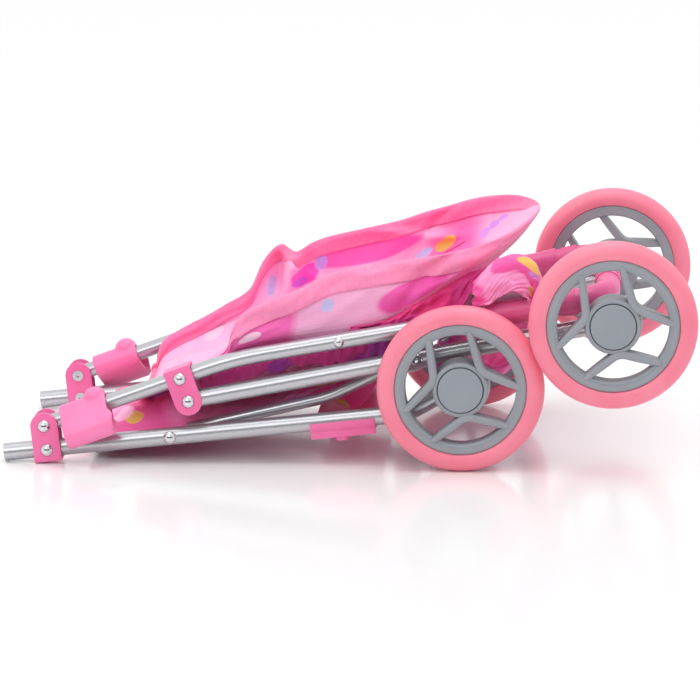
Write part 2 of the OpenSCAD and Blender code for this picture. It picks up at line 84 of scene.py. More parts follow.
def curve(points):
    """A smooth function of x through given points."""
    xs = [p[0] for p in points]
    ys = [p[1] for p in points]
    slopes = [0.0] * len(points)
    for i in range(len(points)):
        a, b = max(i - 1, 0), min(i + 1, len(points) - 1)
        slopes[i] = (ys[b] - ys[a]) / (xs[b] - xs[a])

    def value(x):
        if x <= xs[0]:
            return ys[0]
        if x >= xs[-1]:
            return ys[-1]
        i = max(k for k in range(len(xs) - 1) if xs[k] <= x)
        h = xs[i + 1] - xs[i]
        t = (x - xs[i]) / h
        return ((2 * t ** 3 - 3 * t ** 2 + 1) * ys[i] + (t ** 3 - 2 * t ** 2 + t) * h * slopes[i]
                + (3 * t ** 2 - 2 * t ** 3) * ys[i + 1] + (t ** 3 - t ** 2) * h * slopes[i + 1])
    return value


def outline(points):
    """Smooth x and z of an outline's share from 0 to 1, through given points."""
    last = len(points) - 1
    return [curve([(i / last, point[axis]) for i, point in enumerate(points)]) for axis in (0, 1)]


def handle_z(x):
    """Height of the handle tube's middle line."""
    low = FOLD.z + (x - FOLD.x) * LOWER.z / LOWER.x
    high = KNEE.z + (x - KNEE.x) * math.tan(UPPER_SLOPE)
    return low + (high - low) * smooth((x - KNEE.x) / 0.05 + 0.5)


def rear_z(x):
    return LEG.z + (x - LEG.x) * math.tan(REAR_SLOPE)


# ---------------------------------------------------------------- small mesh helpers
def new_bm():
    return bmesh.new()


def to_object(name, bm, materials, auto_smooth=40):
    mesh = bpy.data.meshes.new(name)
    bm.to_mesh(mesh)
    bm.free()
    piece = bpy.data.objects.new(name, mesh)
    bpy.context.scene.collection.objects.link(piece)
    for material in materials:
        mesh.materials.append(material)
    for face in mesh.polygons:
        face.use_smooth = True
    if auto_smooth:
        mesh.set_sharp_from_angle(angle=math.radians(auto_smooth))
    return piece


def sheet_grid(name, columns, rows, place, materials, flat=None):
    """A cloth grid: place(u, v) gives the point for u and v from 0 to 1. Its UV map is in metres."""
    bm = new_bm()
    bmesh.ops.create_grid(bm, x_segments=columns, y_segments=rows, size=0.5)
    uv = bm.loops.layers.uv.new("cloth")
    at = {}
    for vert in bm.verts:
        at[vert] = (vert.co.x + 0.5, vert.co.y + 0.5)
    for face in bm.faces:
        for loop in face.loops:
            u, v = at[loop.vert]
            loop[uv].uv = (u * flat[0], v * flat[1]) if flat else (u, v)
    for vert, (u, v) in at.items():
        vert.co = place(u, v)
    return to_object(name, bm, materials, auto_smooth=0)


def thicken(piece, thickness, offset=0.0, rim=True):
    solid = piece.modifiers.new("thickness", "SOLIDIFY")
    solid.thickness = thickness
    solid.offset = offset
    solid.use_rim = rim
    return piece


# ---------------------------------------------------------------- materials
def material(name, base, roughness, metallic=0.0, **sockets):
    made = bpy.data.materials.new(name)
    made.use_nodes = True
    tree = made.node_tree
    shader = tree.nodes["Principled BSDF"]
    shader.inputs["Base Color"].default_value = (*base, 1)
    shader.inputs["Roughness"].default_value = roughness
    shader.inputs["Metallic"].default_value = metallic
    for key, value in sockets.items():
        shader.inputs[key.replace("_", " ")].default_value = value
    return made, tree, shader


def node(tree, kind, **settings):
    made = tree.nodes.new(kind)
    for key, value in settings.items():
        if key in made.inputs:
            made.inputs[key].default_value = value
        else:
            setattr(made, key, value)
    return made


def object_coords(tree, scale=(1, 1, 1)):
    coords = node(tree, "ShaderNodeTexCoord")
    mapping = node(tree, "ShaderNodeMapping")
    mapping.inputs["Scale"].default_value = scale
    tree.links.new(coords.outputs["Object"], mapping.inputs["Vector"])
    return mapping.outputs["Vector"]


def uv_coords(tree, scale=(1, 1, 1), offset=(0, 0, 0), turn=0.0):
    coords = node(tree, "ShaderNodeUVMap", uv_map="cloth")
    mapping = node(tree, "ShaderNodeMapping")
    mapping.inputs["Scale"].default_value = scale
    mapping.inputs["Location"].default_value = offset
    mapping.inputs["Rotation"].default_value = (0, 0, turn)
    tree.links.new(coords.outputs["UV"], mapping.inputs["Vector"])
    return mapping.outputs["Vector"]


def noise_tex(tree, vector, scale, detail=3.0, rough=0.5):
    tex = node(tree, "ShaderNodeTexNoise")
    tex.inputs["Scale"].default_value = scale
    tex.inputs["Detail"].default_value = detail
    tex.inputs["Roughness"].default_value = rough
    tree.links.new(vector, tex.inputs["Vector"])
    return tex.outputs["Fac"]


def spread(tree, value, low, high, to_low, to_high):
    ranged = node(tree, "ShaderNodeMapRange")
    for key, number in (("From Min", low), ("From Max", high), ("To Min", to_low), ("To Max", to_high)):
        ranged.inputs[key].default_value = number
    tree.links.new(value, ranged.inputs["Value"])
    return ranged.outputs["Result"]


def mix(tree, factor, a, b):
    mixed = node(tree, "ShaderNodeMix", data_type="RGBA")
    if isinstance(factor, float):
        mixed.inputs[0].default_value = factor
    else:
        tree.links.new(factor, mixed.inputs[0])
    for index, colour in ((6, a), (7, b)):
        if isinstance(colour, tuple):
            mixed.inputs[index].default_value = (*colour, 1)
        else:
            tree.links.new(colour, mixed.inputs[index])
    return mixed.outputs[2]


def bump(tree, shader, height, strength, distance):
    bumped = node(tree, "ShaderNodeBump")
    bumped.inputs["Strength"].default_value = strength
    bumped.inputs["Distance"].default_value = distance
    tree.links.new(height, bumped.inputs["Height"])
    tree.links.new(bumped.outputs["Normal"], shader.inputs["Normal"])


def moulded(name, base, roughness, worn, grain=900, strength=0.12, **sockets):
    """Moulded plastic or foam: faint mottling, a fine mould grain and slightly uneven gloss."""
    made, tree, shader = material(name, base, roughness, **sockets)
    coords = object_coords(tree)
    patches = noise_tex(tree, coords, 28, 4)
    colour = mix(tree, spread(tree, patches, 0.35, 0.7, 0.0, 1.0), base, worn)
    tree.links.new(colour, shader.inputs["Base Color"])
    gloss = spread(tree, noise_tex(tree, coords, 60, 3), 0.3, 0.7, roughness - 0.06, roughness + 0.08)
    tree.links.new(gloss, shader.inputs["Roughness"])
    bump(tree, shader, noise_tex(tree, coords, grain, 2), strength, 0.0004)
    return made


def tube_metal(name, base, roughness):
    """Silver lacquer over drawn steel: faint streaks along the tube and tiny flakes."""
    made, tree, shader = material(name, base, roughness, metallic=0.75)
    streaks = noise_tex(tree, object_coords(tree, (3, 90, 90)), 5, 3, 0.5)
    flakes = noise_tex(tree, object_coords(tree), 2600, 1)
    colour = mix(tree, spread(tree, streaks, 0.3, 0.7, 0.0, 1.0), base, tuple(v * 0.92 for v in base))
    tree.links.new(colour, shader.inputs["Base Color"])
    tree.links.new(spread(tree, flakes, 0.3, 0.7, roughness - 0.03, roughness + 0.04),
                   shader.inputs["Roughness"])
    bump(tree, shader, streaks, 0.02, 0.0003)
    return made


def polished(name, base, roughness):
    """Plated metal with faint handling marks."""
    made, tree, shader = material(name, base, roughness, metallic=1.0)
    marks = noise_tex(tree, object_coords(tree), 700, 3)
    tree.links.new(spread(tree, marks, 0.3, 0.7, roughness - 0.04, roughness + 0.08),
                   shader.inputs["Roughness"])
    return made


LIGHT_PINK = (1.0, 0.36, 0.62)
MID_PINK = (0.94, 0.17, 0.45)
DEEP_PINK = (0.86, 0.035, 0.27)
YELLOW = (0.85, 0.62, 0.04)
BLUE = (0.42, 0.52, 0.88)
LAVENDER = (0.62, 0.30, 0.85)


def weave(tree, coords, thread=0.0009):
    """Height of a plain weave: two crossed sets of threads."""
    heights = []
    for direction in ("X", "Y"):
        wave = node(tree, "ShaderNodeTexWave", bands_direction=direction)
        wave.inputs["Scale"].default_value = 1 / thread / 20
        wave.inputs["Distortion"].default_value = 0.6
        wave.inputs["Detail"].default_value = 1
        tree.links.new(coords, wave.inputs["Vector"])
        heights.append(wave.outputs["Fac"])
    total = node(tree, "ShaderNodeMath", operation="MULTIPLY")
    tree.links.new(heights[0], total.inputs[0])
    tree.links.new(heights[1], total.inputs[1])
    return total.outputs[0]


def cloth(name, ground, second, spots=(), patch_scale=7.0, seed=0.0, scatter=True, roughness=0.62):
    """Printed polyester: big soft two-tone patches, round spots (print, and in some lists painted highlights and
    painted shade), weave and sheen.
    """
    made, tree, shader = material(name, ground, roughness)
    shader.inputs["Sheen Weight"].default_value = 0.35
    shader.inputs["Sheen Roughness"].default_value = 0.4
    shader.inputs["Sheen Tint"].default_value = (1.0, 0.75, 0.86, 1)
    coords = uv_coords(tree, offset=(seed, seed * 0.7, 0))
    plain = uv_coords(tree)
    patches = noise_tex(tree, coords, patch_scale, 1, 0.3)
    colour = mix(tree, spread(tree, patches, 0.50, 0.56, 0.0, 1.0), ground, second)
    if scatter:
        cells = node(tree, "ShaderNodeTexVoronoi", feature="F1")
        cells.inputs["Scale"].default_value = 13
        cells.inputs["Randomness"].default_value = 0.9
        tree.links.new(coords, cells.inputs["Vector"])
        inside = spread(tree, cells.outputs["Distance"], 0.20, 0.24, 1.0, 0.0)
        hue = node(tree, "ShaderNodeValToRGB")
        hue.color_ramp.interpolation = "CONSTANT"
        stops = [(0.0, LIGHT_PINK), (0.34, YELLOW), (0.5, LIGHT_PINK), (0.62, LAVENDER), (0.8, BLUE)]
        ramp = hue.color_ramp
        ramp.elements[0].color = (*stops[0][1], 1)
        ramp.elements[1].position = stops[1][0]
        ramp.elements[1].color = (*stops[1][1], 1)
        for position, stop in stops[2:]:
            ramp.elements.new(position).color = (*stop, 1)
        tree.links.new(cells.outputs["Color"], hue.inputs["Fac"])
        colour = mix(tree, inside, colour, hue.outputs["Color"])
    # Each spot is an oval patch of its tone: print, and in some lists a painted highlight or a patch of painted
    # shade.
    for u, v, wide, high, tone in spots:
        shift = node(tree, "ShaderNodeMapping", vector_type="POINT")
        shift.inputs["Location"].default_value = (-u / wide, -v / high, 0)
        shift.inputs["Scale"].default_value = (1 / wide, 1 / high, 0)
        tree.links.new(plain, shift.inputs["Vector"])
        length = node(tree, "ShaderNodeVectorMath", operation="LENGTH")
        tree.links.new(shift.outputs["Vector"], length.inputs[0])
        inside = spread(tree, length.outputs["Value"], 0.9, 1.08, 0.92, 0.0)
        colour = mix(tree, inside, colour, tone)
    fade = spread(tree, noise_tex(tree, coords, 38, 4), 0.3, 0.75, 0.0, 0.22)
    colour = mix(tree, fade, colour, MID_PINK)
    tree.links.new(colour, shader.inputs["Base Color"])
    bump(tree, shader, weave(tree, plain), 0.35, 0.00035)
    return made


def tape(name, base, stitch, faded=0.35):
    """Ribbed binding tape with one row of fine stitches near its lower edges; v runs across it."""
    made, tree, shader = material(name, base, 0.7)
    shader.inputs["Sheen Weight"].default_value = 0.3
    coords = uv_coords(tree)
    mottled = spread(tree, noise_tex(tree, coords, 240, 3), 0.3, 0.7, 0.0, faded)
    colour = mix(tree, mottled, base, stitch)
    parts = node(tree, "ShaderNodeSeparateXYZ")
    tree.links.new(coords, parts.inputs[0])
    dash = node(tree, "ShaderNodeMath", operation="PINGPONG")
    dash.inputs[1].default_value = 0.0011
    tree.links.new(parts.outputs[0], dash.inputs[0])
    on_dash = spread(tree, dash.outputs[0], 0.0003, 0.0005, 0.0, 1.0)
    line = node(tree, "ShaderNodeMath", operation="COMPARE")
    line.inputs[1].default_value = 0.0016
    line.inputs[2].default_value = 0.00028
    tree.links.new(parts.outputs[1], line.inputs[0])
    stitched = node(tree, "ShaderNodeMath", operation="MULTIPLY")
    tree.links.new(on_dash, stitched.inputs[0])
    tree.links.new(line.outputs[0], stitched.inputs[1])
    seen = spread(tree, stitched.outputs[0], 0.0, 1.0, 0.0, 0.55)
    colour = mix(tree, seen, colour, stitch)
    tree.links.new(colour, shader.inputs["Base Color"])
    bump(tree, shader, weave(tree, coords, 0.0011), 0.55, 0.0004)
    return made


SILVER = tube_metal("silver_tube", (0.55, 0.555, 0.585), 0.29)
AXLE_STEEL = tube_metal("axle_steel", (0.40, 0.39, 0.38), 0.32)
CHROME = polished("rivet_chrome", (0.66, 0.67, 0.70), 0.12)
PINK = moulded("bracket_pink", (0.95, 0.185, 0.43), 0.36, (0.90, 0.15, 0.38))
SLEEVE_PINK = moulded("sleeve_pink", (0.98, 0.235, 0.49), 0.38, (0.95, 0.20, 0.44))
GRIP_PINK = moulded("grip_pink", (0.80, 0.13, 0.34), 0.34, (0.74, 0.10, 0.29))
TYRE = moulded("tyre_pink", (0.96, 0.26, 0.36), 0.44, (0.93, 0.21, 0.31), grain=1400, strength=0.2)
GREY = moulded("rim_grey", (0.325, 0.345, 0.375), 0.42, (0.29, 0.31, 0.34))
CAP_GREY = moulded("cap_grey", (0.31, 0.335, 0.375), 0.40, (0.28, 0.305, 0.345))
DARK_GREY = moulded("spacer_grey", (0.12, 0.12, 0.13), 0.5, (0.1, 0.1, 0.11))

finishes = {
    "tube_silver": SILVER, "bracket_pink": PINK, "plastic_pink": GRIP_PINK, "rivet_chrome": CHROME,
    "axle_steel": AXLE_STEEL, "spacer_grey": DARK_GREY, "tyre_pink": TYRE, "rim_grey": GREY,
    "cap_grey": CAP_GREY,
}
for part in frame["record"]["subparts"]:
    finish = finishes.get(part["material_slot"])
    if finish:
        holder = frame["nodes"][part["node"]]
        holder.data.materials.clear()
        holder.data.materials.append(finish)

# ---------------------------------------------------------------- wheels
TYRE_R = REAR_AXLE.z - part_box("tyre_rear_left")[0].z
TYRE_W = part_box("tyre_rear_left")[1].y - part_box("tyre_rear_left")[0].y
RIM_R = (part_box("rim_rear_left")[1].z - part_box("rim_rear_left")[0].z) / 2
CAP_R = (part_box("hub_cap_rear_left")[1].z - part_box("hub_cap_rear_left")[0].z) / 2
HUB_R = 0.0215
INNER_R = RIM_R - 0.0084


def lathe(name, profile, materials, steps=96):
    """Spins a closed profile of (radius, height) points about +Z."""
    bm = new_bm()
    verts = [bm.verts.new((r, 0, h)) for r, h in profile]
    edges = [bm.edges.new((verts[i], verts[(i + 1) % len(verts)])) for i in range(len(verts))]
    bmesh.ops.spin(bm, geom=verts + edges, cent=(0, 0, 0), axis=(0, 0, 1), angle=2 * math.pi,
                   steps=steps, use_merge=True)
    bmesh.ops.remove_doubles(bm, verts=bm.verts, dist=1e-6)
    bmesh.ops.recalc_face_normals(bm, faces=bm.faces)
    return to_object(name, bm, materials, auto_smooth=38)


def arc(centre, radius, start, end, count):
    return [(centre[0] + radius * math.cos(math.radians(a)), centre[1] + radius * math.sin(math.radians(a)))
            for a in [start + (end - start) * i / count for i in range(count + 1)]]


def tyre_profile():
    half = TYRE_W / 2
    shoulder = half * 0.86
    outer = TYRE_R - shoulder
    return ([(RIM_R + 0.0001, -half + 0.0024), (RIM_R + 0.0006, -half + 0.0012),
             (RIM_R + 0.0022, -half + 0.0004)]
            + arc((outer, -half + shoulder), shoulder, -90, 0, 10)
            + arc((outer, half - shoulder), shoulder, 0, 90, 10)
            + [(RIM_R + 0.0022, half - 0.0004), (RIM_R + 0.0006, half - 0.0012),
               (RIM_R + 0.0001, half - 0.0024)])


def rim_profile():
    half = TYRE_W / 2
    front = half - 0.0016
    back = -half + 0.0015
    return ([(RIM_R, back), (RIM_R, front - 0.0012), (RIM_R - 0.0010, front - 0.0002),
             (RIM_R - 0.0022, front), (INNER_R + 0.0030, front - 0.0004)]
            + arc((INNER_R + 0.0026, front - 0.0034), 0.0026, 80, 180, 6)
            + [(INNER_R + 0.0006, 0.0), (INNER_R + 0.0002, back + 0.001), (INNER_R + 0.0012, back)])


def hub_profile():
    half = TYRE_W / 2
    front = half - 0.0010
    floor = half - 0.006
    return ([(0.0030, -half), (HUB_R + 0.0012, -half), (HUB_R, front - 0.0022)]
            + arc((HUB_R - 0.0018, front - 0.0018), 0.0018, 0, 90, 5)
            + [(CAP_R + 0.0009, front), (CAP_R + 0.0004, front - 0.0006), (CAP_R + 0.0002, floor),
               (0.0030, floor)])


SPOKE_LEAN = math.radians(25.5)
SPOKE_ELBOW_R = 0.012
SPOKE_ELBOW_X = HUB_R + 0.0011
SPOKE_ARM = 0.0275


def spoke_path(elbow_steps=8, arm_steps=9):
    """Centre line of one angled spoke as (x, y, share of the arm): rim, hub's side, rim."""
    half = []
    for i in range(elbow_steps + 1):
        bend = SPOKE_LEAN * i / elbow_steps
        half.append((SPOKE_ELBOW_X + SPOKE_ELBOW_R * (1 - math.cos(bend)),
                     SPOKE_ELBOW_R * math.sin(bend), 0.0))
    end_x, end_y, _ = half[-1]
    for i in range(1, arm_steps + 1):
        share = i / arm_steps
        half.append((end_x + share * SPOKE_ARM * math.sin(SPOKE_LEAN),
                     end_y + share * SPOKE_ARM * math.cos(SPOKE_LEAN), share))
    return [(x, -y, share) for x, y, share in reversed(half[1:])] + half


def spoke(bm, turn):
    """Skins a rounded bar along the spoke's path, deep across the wheel and thinner at the rim."""
    half = TYRE_W / 2
    path = spoke_path()
    rings = []
    for i, (x, y, share) in enumerate(path):
        a = path[max(i - 1, 0)]
        b = path[min(i + 1, len(path) - 1)]
        along = Vector((b[0] - a[0], b[1] - a[1], 0)).normalized()
        side = Vector((-along.y, along.x, 0))
        wide = 0.0032 - 0.0010 * share ** 3
        top = half + 0.0002 - 0.0014 * share ** 2
        low = -half + 0.004
        ring = []
        for k in range(11):
            angle = math.pi * k / 10
            ring.append(bm.verts.new(Vector((x, y, top - wide * 0.8)) + side * wide * math.cos(angle)
                                     + Vector((0, 0, wide * 0.8 * math.sin(angle)))))
        ring.append(bm.verts.new(Vector((x, y, low)) - side * wide * 0.9))
        ring.append(bm.verts.new(Vector((x, y, low)) + side * wide * 0.9))
        rings.append(ring)
    edges = [[bm.edges.new((ring[k], ring[(k + 1) % len(ring)])) for k in range(len(ring))] for ring in rings]
    for one, two in zip(edges, edges[1:]):
        bmesh.ops.bridge_loops(bm, edges=one + two)
    bmesh.ops.contextual_create(bm, geom=edges[0])
    bmesh.ops.contextual_create(bm, geom=edges[-1])
    made = [vert for ring in rings for vert in ring]
    bmesh.ops.rotate(bm, verts=made, cent=(0, 0, 0), matrix=Matrix.Rotation(math.radians(turn), 3, "Z"))


def rim_mesh(name, materials):
    bm = new_bm()
    for profile in (rim_profile(), hub_profile()):
        verts = [bm.verts.new((r, 0, h)) for r, h in profile]
        edges = [bm.edges.new((verts[i], verts[(i + 1) % len(verts)])) for i in range(len(verts))]
        bmesh.ops.spin(bm, geom=verts + edges, cent=(0, 0, 0), axis=(0, 0, 1), angle=2 * math.pi,
                       steps=96, use_merge=True)
    for k in range(3):
        spoke(bm, 42 + 120 * k)
    bmesh.ops.remove_doubles(bm, verts=bm.verts, dist=1e-6)
    bmesh.ops.recalc_face_normals(bm, faces=bm.faces)
    return to_object(name, bm, materials, auto_smooth=38)


def cap_mesh(name, materials):
    half = TYRE_W / 2
    top = half + 0.0005
    rim = CAP_R - 0.0001
    profile = [(0.0, half - 0.005), (rim, half - 0.005), (rim, top - 0.0009)]
    profile += arc((rim - 0.0009, top - 0.0009), 0.0009, 0, 90, 4)
    profile += [(rim * 0.5, top + 0.0003), (0.0, top + 0.0004)]
    return lathe(name, profile, materials)


def stand(piece, axle, wheel_y, right, spin):
    """Turns a wheel piece from +Z to the left-hand axle; a right-hand one is mirrored."""
    matrix = (Matrix.Translation((axle.x, -wheel_y, axle.z)) @ Matrix.Rotation(math.pi / 2, 4, "X")
              @ Matrix.Rotation(math.radians(spin), 4, "Z"))
    if right:
        matrix = Matrix.Scale(-1, 4, (0, 1, 0)) @ matrix
    piece.data.transform(matrix)
    if right:
        piece.data.flip_normals()
    return piece


for place, axle in (("front_left", FRONT_AXLE), ("front_right", FRONT_AXLE),
                    ("rear_left", REAR_AXLE), ("rear_right", REAR_AXLE)):
    right = place.endswith("right")
    spin = 22 if right else 0
    wheel_y = abs(middle("tyre_" + place).y)
    for kind, made, slot in (("tyre", lathe("tyre_" + place + "_foam", tyre_profile(), [TYRE]), "tyre_pink"),
                             ("rim", rim_mesh("rim_" + place + "_moulding", [GREY]), "rim_grey"),
                             ("hub_cap", cap_mesh("hub_cap_" + place + "_disc", [CAP_GREY]), "cap_grey")):
        stand(made, axle, wheel_y, right, spin)
        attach(made, "wheel_" + place)
        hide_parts(kind + "_" + place)

# ---------------------------------------------------------------- sewn seat back with wings
far_rim = curve([(-0.172, 0.036), (-0.1705, 0.0475), (-0.165, 0.060), (-0.152, 0.068), (-0.135, 0.077),
                 (-0.114, 0.089), (-0.093, 0.103), (-0.083, 0.124), (-0.0745, 0.135), (-0.067, 0.139),
                 (-0.0595, 0.137), (-0.051, 0.137), (-0.039, 0.1425), (-0.026, 0.147), (0.003, 0.1535),
                 (0.032, 0.160), (0.052, 0.167), (0.073, 0.173), (0.090, 0.178), (0.107, 0.182),
                 (0.128, 0.1855), (0.147, 0.1865)])
near_rim = curve([(-0.172, 0.036), (-0.165, 0.054), (-0.150, 0.0635), (-0.120, 0.077), (-0.1, 0.0845),
                  (-0.0935, 0.092),
                  (-0.0915, 0.101), (-0.087, 0.110), (-0.080, 0.1175), (-0.066, 0.1245), (-0.048, 0.1315),
                  (-0.034, 0.1375), (-0.017, 0.1470), (-0.005, 0.1507), (0.018, 0.1547), (0.041, 0.1583),
                  (0.065, 0.1622), (0.088, 0.1668), (0.103, 0.1702), (0.118, 0.1742), (0.133, 0.1800),
                  (0.147, 0.1865)])
keel = curve([(-0.172, 0.031), (-0.165, 0.046), (-0.150, 0.0575), (-0.120, 0.069), (-0.084, 0.080),
              (-0.037, 0.089), (-0.006, 0.0945), (0.022, 0.101), (0.040, 0.109), (0.057, 0.120),
              (0.080, 0.134), (0.100, 0.146), (0.119, 0.159), (0.134, 0.1715), (0.147, 0.1850)])
SHELL_LEFT, SHELL_RIGHT = -0.172, 0.148
SHELL_Y = SIDE_Y - HANDLE_R - 0.0015
SHELL_FLAT = (0.39, 0.33)


def half_width(x):
    narrow = max(x - 0.082, 0) / (SHELL_RIGHT - 0.082)
    pinched = 0.0070 * smooth((-0.148 - x) / 0.016)
    return SHELL_Y * math.sqrt(max(1 - narrow ** 2, 0.0004)) - pinched


def ridge(value, middle, width):
    return math.exp(-((value - middle) / width) ** 2)


def squareness(x):
    """How boxy the seat back's section is: low values are boxy."""
    return 0.30 + 0.5 * smooth((x - 0.05) / 0.10)


def shell_point(u, v, out=0.0):
    """Point of the boat-shaped seat back: u runs to the tip, v from the near rim to the far rim."""
    x = SHELL_LEFT + (SHELL_RIGHT - SHELL_LEFT) * u
    angle = (v - 0.5) * math.pi
    near = v < 0.5
    square = squareness(x)
    width = half_width(x)
    floor_z = keel(x)
    rim = near_rim(x) if near else far_rim(x)
    across = math.copysign(abs(math.sin(angle)) ** square, angle)
    rise = 1 - abs(math.cos(angle)) ** square
    y = width * across
    z = floor_z + (rim - floor_z) * rise
    wall = smooth((rise - 0.05) / 0.5)
    top = smooth((rise - 0.90) / 0.10)
    if near:
        fold = (noise.noise(Vector((x * 20 + rise * 2.5, rise * 1.5, 4.2))) * 0.0045
                + noise.noise(Vector((x * 55 - rise * 6, rise * 3, 1.3))) * 0.0014)
        fold += 0.005 * ridge(x - 0.05 * rise, 0.028, 0.010) * (1 - top)
        fold -= 0.004 * ridge(x + 0.04 * rise, 0.058, 0.012) * (1 - top)
    else:
        fold = (noise.noise(Vector((x * 17, rise * 2, 7.7))) * 0.006
                + noise.noise(Vector((x * 50, rise * 4, 3.1))) * 0.0018)
        fold += 0.024 * ridge(x + 0.012 * (1 - rise), -0.053, 0.0065) - 0.013 * ridge(x, -0.068, 0.008)
        fold += 0.004 * ridge(x + 0.06 * rise, -0.010, 0.006) * (1 - top)
        fold -= 0.004 * ridge(x - 0.05 * rise, 0.020, 0.007) * (1 - top)
        fold += 0.006 * ridge(x + 0.10 * rise, 0.115, 0.010) * (1 - top)
    y -= math.copysign(1, across) * (fold * wall * (1 - 0.35 * top) - out) * (1 if abs(across) > 0.02 else 0)
    sag = 0.005 * math.cos(math.pi * y / width / 2) * (1 - smooth((x - 0.03) / 0.05))
    ripple = (noise.noise(Vector((x * 14, y * 16, 0.4))) * 0.005
              + noise.noise(Vector((x * 45, y * 30, 2.4))) * 0.0016)
    z += (1 - wall) * (ripple * min((x - SHELL_LEFT) / 0.03, 1) - sag)
    tilt = smooth((-0.118 - x) / 0.050) * smooth((0.25 - y / width) / 1.15)
    z += tilt * (handle_z(x) - 0.004 - floor_z) * (1 - 0.5 * rise)
    return Vector((x, y, z))


def shell_even(u, t, out=0.0):
    """The same surface with evenly spaced rows: t runs from the near rim to the far rim."""
    square = squareness(SHELL_LEFT + (SHELL_RIGHT - SHELL_LEFT) * u)
    corner = 0.5 ** (square / 2)
    side = abs(2 * t - 1)
    if side < 0.5:
        angle = math.asin((corner * side / 0.5) ** (1 / square))
    else:
        angle = math.acos((corner * (1 - side) / 0.5) ** (1 / square))
    return shell_point(u, 0.5 + math.copysign(angle, t - 0.5) / math.pi, out)


PALE_BLUE = (0.50, 0.62, 0.95)
# The pale near-white spot at (0.116, 0.052) on the near outer wall is a painted highlight.
SHELL_SPOTS = [
    (0.215, 0.300, 0.055, 0.016, (0.97, 0.11, 0.52)), (0.272, 0.052, 0.034, 0.020, (0.94, 0.07, 0.45)),
    (0.116, 0.052, 0.011, 0.009, (1.0, 0.72, 0.86)), (0.1906, 0.0385, 0.0065, 0.009, PALE_BLUE),
    (0.2940, 0.2690, 0.0105, 0.0125, YELLOW), (0.3342, 0.2480, 0.0055, 0.0100, LAVENDER),
    (0.3440, 0.2550, 0.0055, 0.0100, (0.56, 0.28, 0.85)), (0.3530, 0.2620, 0.0055, 0.0090, LAVENDER),
    (0.2721, 0.2700, 0.0090, 0.0070, PALE_BLUE), (0.117, 0.281, 0.0045, 0.0150, PALE_BLUE),
    (0.153, 0.291, 0.0130, 0.0150, (0.94, 0.05, 0.58)), (0.147, 0.283, 0.0075, 0.0090, (0.58, 0.12, 0.76)),
    (0.168, 0.300, 0.0065, 0.0110, (0.50, 0.42, 0.93)), (0.060, 0.250, 0.010, 0.016, (1.0, 0.62, 0.80)),
    (0.210, 0.170, 0.010, 0.012, YELLOW), (0.200, 0.235, 0.014, 0.010, (1.0, 0.62, 0.80)),
    (0.330, 0.110, 0.010, 0.009, YELLOW)]
SHELL_CLOTH = cloth("shell_cloth", (1.0, 0.48, 0.74), (0.97, 0.14, 0.48), SHELL_SPOTS, patch_scale=5.5,
                    seed=0.3, scatter=False)
TAPE = tape("binding_tape", (0.97, 0.19, 0.41), (0.82, 0.07, 0.25))
PALE_TAPE = tape("outer_tape", (1.0, 0.30, 0.53), (0.93, 0.17, 0.40), faded=0.4)

shell = sheet_grid("seat_shell_cloth", 220, 150, shell_even, [SHELL_CLOTH], flat=SHELL_FLAT)
thicken(shell, 0.0010)
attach(shell, "handle_frame")
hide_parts("seat_shell")


def rim_share(x, near, depth):
    """t at which the wall is depth below its rim."""
    low, high = (0.0, 0.5)
    u = (x - SHELL_LEFT) / (SHELL_RIGHT - SHELL_LEFT)
    top = shell_even(u, 0.0 if near else 1.0)
    for _ in range(18):
        mid = (low + high) / 2
        point = shell_even(u, mid if near else 1 - mid)
        if (point - top).length < depth:
            low = mid
        else:
            high = mid
    return low


def binding(name, near, left, right, wide, finish):
    """Wide tape folded over the rim: one face outside the wall and one inside."""
    shares = {}

    def place(u, v):
        x = left + (right - left) * u
        key = round(x, 6)
        if key not in shares:
            ends = min(1.0, 0.35 + (x - left) / 0.014) if near else 1.0
            shares[key] = rim_share(x, near, wide * ends)
        deep = abs(v - 0.5) * 2
        share = shares[key] * deep
        at_u = (x - SHELL_LEFT) / (SHELL_RIGHT - SHELL_LEFT)
        side = 1 if v < 0.5 else -1
        offset = 0.0018 * min(deep * 6, 1) * side
        point = shell_even(at_u, share if near else 1 - share, out=offset)
        point.z += 0.0010 * (1 - min(deep * 6, 1))
        return point

    columns = int((right - left) / 0.0016)
    strip = sheet_grid(name, columns, 24, place, [finish], flat=(right - left, 2 * wide))
    thicken(strip, 0.0008)
    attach(strip, "handle_frame")
    return strip


far_tape = binding("wing_binding_right", False, SHELL_LEFT, SHELL_RIGHT - 0.0005, 0.0125, TAPE)
near_tape = binding("wing_binding_left", True, -0.0930, SHELL_RIGHT - 0.0005, 0.0155, PALE_TAPE)


def hem_place(u, v):
    """Rolled hem along the seat back's lower end."""
    base = shell_even(0.0, 0.12 + 0.88 * u)
    inner = shell_even(0.02, 0.12 + 0.88 * u)
    inward = (inner - base).normalized()
    up = Vector((0, 1, 0)).cross(inward).normalized()
    angle = math.radians(-100 + 380 * v)
    roll = 0.0042 * (0.12 + 0.88 * smooth(min(u, 1 - u) / 0.06))
    return base + inward * (0.003 + roll * math.sin(angle)) - up * roll * math.cos(angle)


hem = sheet_grid("seat_back_hem", 110, 22, hem_place, [TAPE], flat=(0.21, 0.028))
thicken(hem, 0.0008)
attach(hem, "handle_frame")

